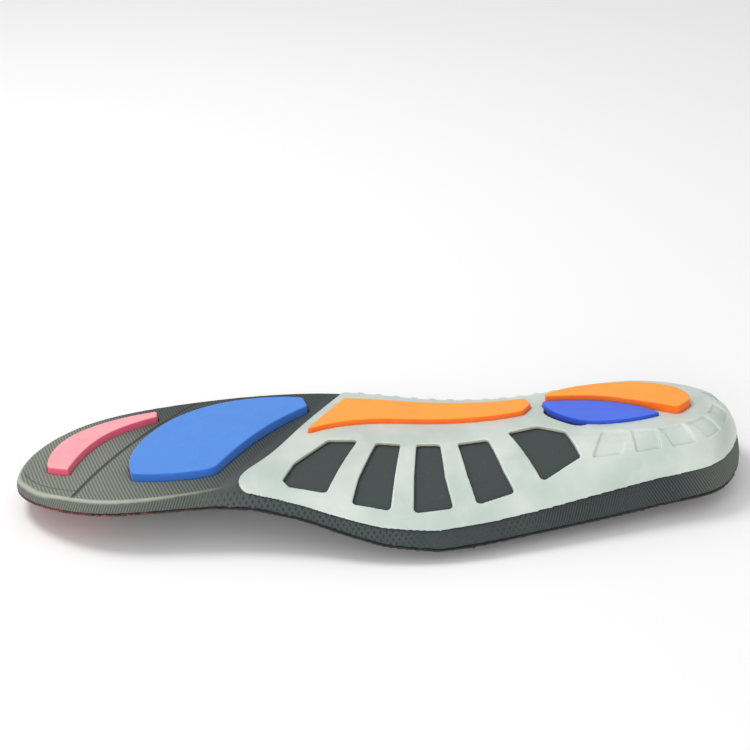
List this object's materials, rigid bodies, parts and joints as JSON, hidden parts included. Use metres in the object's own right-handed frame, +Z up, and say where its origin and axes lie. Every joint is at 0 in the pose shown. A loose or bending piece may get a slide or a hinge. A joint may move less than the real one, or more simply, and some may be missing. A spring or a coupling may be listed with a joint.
{
  "type": "cushioned insole",
  "caption": "Full-length left-foot insole with a foam base, fabric cover, windowed plastic arch and heel shell, and raised cushioning pads on its underside, lying underside up.",
  "frame": {"origin": "on the floor under the middle of the insole's box, with the insole lying underside up", "axes": "+X from toe to heel, +Y from the arch side to the outer side, +Z up, out of the underside"},
  "size_m": [0.2784, 0.1178, 0.0311],
  "materials": {
    "cover_knit": null,
    "base_foam": "moulded grey foam with fine ribs and knurl",
    "shell_plastic": "milky translucent plastic",
    "cushion_foam": "soft open foam, hidden",
    "pink_pad": "matte moulded foam",
    "blue_pad": "matte moulded foam",
    "orange_pad": "matte moulded foam",
    "deep_blue_pad": "matte moulded foam"
  },
  "bodies": {
    "root": {"top_cover": "cover_knit", "foam_base": "base_foam", "arch_shell": "shell_plastic", "arch_cushion": "cushion_foam", "toe_pad": "pink_pad", "forefoot_pad": "blue_pad", "midfoot_pad": "orange_pad", "heel_pad_outer": "orange_pad", "heel_pad_inner": "deep_blue_pad"}
  },
  "joints": []
}
